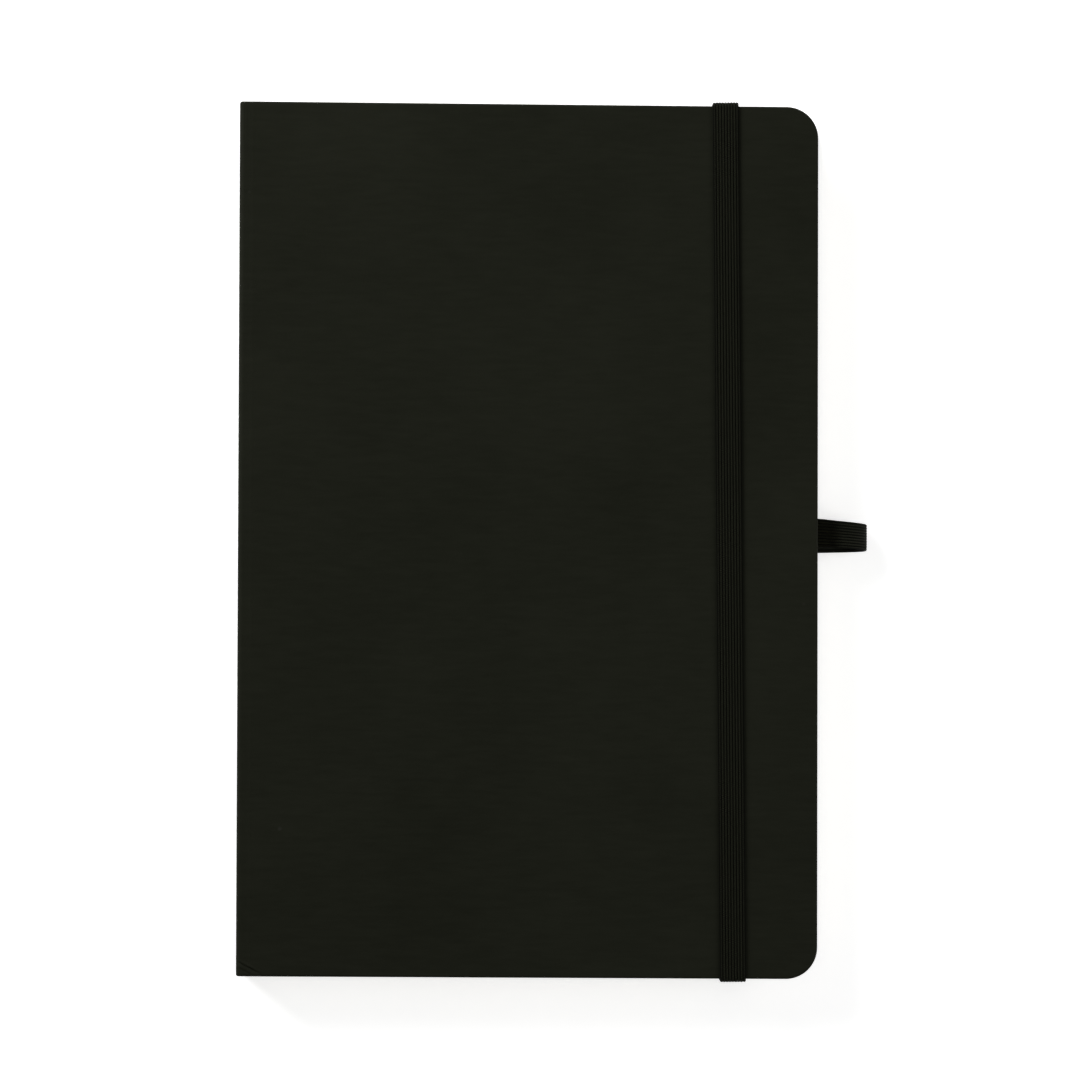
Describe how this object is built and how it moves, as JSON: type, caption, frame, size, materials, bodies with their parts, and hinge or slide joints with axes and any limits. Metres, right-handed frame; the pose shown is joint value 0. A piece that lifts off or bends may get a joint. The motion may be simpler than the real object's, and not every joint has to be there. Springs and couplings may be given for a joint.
{
  "type": "notebook",
  "caption": "Hard-cover notebook with rounded fore-edge corners, sewn ruled sections, elastic closure band and elastic pen loop.",
  "frame": {"origin": "centre of the back cover's outer face, on the surface that the closed notebook lies on", "axes": "+X from the spine to the fore-edge, +Y from the tail to the head, +Z out of the front cover"},
  "size_m": [0.1522, 0.2118, 0.0168],
  "materials": {
    "cover_skin": "fine-grained leathercloth, matt",
    "board": "grey board",
    "endpaper": "uncoated ivory endpaper",
    "page_paper": "uncoated ivory writing paper",
    "kraft": "brown kraft paper",
    "mull": "open-weave cotton",
    "thread": "sewing thread",
    "elastic": "ribbed woven elastic",
    "loop_tape": "ribbed woven elastic tape"
  },
  "bodies": {
    "text_block": {"spine_strip": "board", "spine_skin": "cover_skin", "front_joint_skin": "cover_skin", "back_joint_skin": "cover_skin", "spine_liner": "kraft", "mull": "mull", "sewing_thread": "thread", "section_02": "page_paper", "section_03": "page_paper", "section_04": "page_paper", "section_05": "page_paper", "section_06": "page_paper", "section_07": "page_paper", "section_08": "page_paper", "section_09": "page_paper", "section_10": "page_paper", "section_11": "page_paper", "section_12": "page_paper"},
    "front_cover": {"front_board": "board", "front_skin": "cover_skin", "front_pastedown": "endpaper"},
    "front_leaf": {"front_flyleaf": "endpaper"},
    "first_section": {"section_01": "page_paper"},
    "back_leaf": {"back_flyleaf": "endpaper"},
    "back_cover": {"back_board": "board", "back_skin": "cover_skin", "back_pastedown": "endpaper", "band_end_head": "elastic", "band_end_tail": "elastic", "pen_loop_tab": "loop_tape"},
    "band": {"closure_band": "elastic"},
    "loop": {"pen_loop": "loop_tape"}
  },
  "joints": [
    {"name": "front_cover_hinge", "type": "hinge", "parent": "text_block", "child": "front_cover", "pos_m": [-0.07, 0, 0.01472], "axis": [0, -1, 0], "range_deg": [0, 178], "deforming": ["front_joint_skin"]},
    {"name": "front_leaf_turn", "type": "hinge", "parent": "text_block", "child": "front_leaf", "pos_m": [-0.07, 0, 0.01477], "axis": [0, -1, 0], "range_deg": [0, 176]},
    {"name": "first_section_turn", "type": "hinge", "parent": "text_block", "child": "first_section", "pos_m": [-0.07, 0, 0.01477], "axis": [0, -1, 0], "range_deg": [0, 172]},
    {"name": "back_cover_hinge", "type": "hinge", "parent": "text_block", "child": "back_cover", "pos_m": [-0.07, 0, 0.00125], "axis": [0, 1, 0], "range_deg": [0, 179.9], "deforming": ["back_joint_skin"]},
    {"name": "back_leaf_turn", "type": "hinge", "parent": "text_block", "child": "back_leaf", "pos_m": [-0.07, 0, 0.0012], "axis": [0, 1, 0], "range_deg": [0, 176]},
    {"name": "band_release", "type": "hinge", "parent": "back_cover", "child": "band", "pos_m": [0.04865, 0, 0.00187], "axis": [-0.0119, 0.9999, 0], "range_deg": [0, 180], "deforming": ["closure_band"]},
    {"name": "pen_loop_flex", "type": "hinge", "parent": "back_cover", "child": "loop", "pos_m": [0.07055, 0.0012, 0.0018], "axis": [0, -1, 0], "range_deg": [-60, 30], "stiffness_Nm_per_rad": 0.002}
  ],
  "couplings": [
    {"joint": "front_leaf_turn", "follows": "front_cover_hinge", "ratio": 0.97},
    {"joint": "first_section_turn", "follows": "front_cover_hinge", "ratio": 0.94},
    {"joint": "back_leaf_turn", "follows": "back_cover_hinge", "ratio": 0.97}
  ]
}
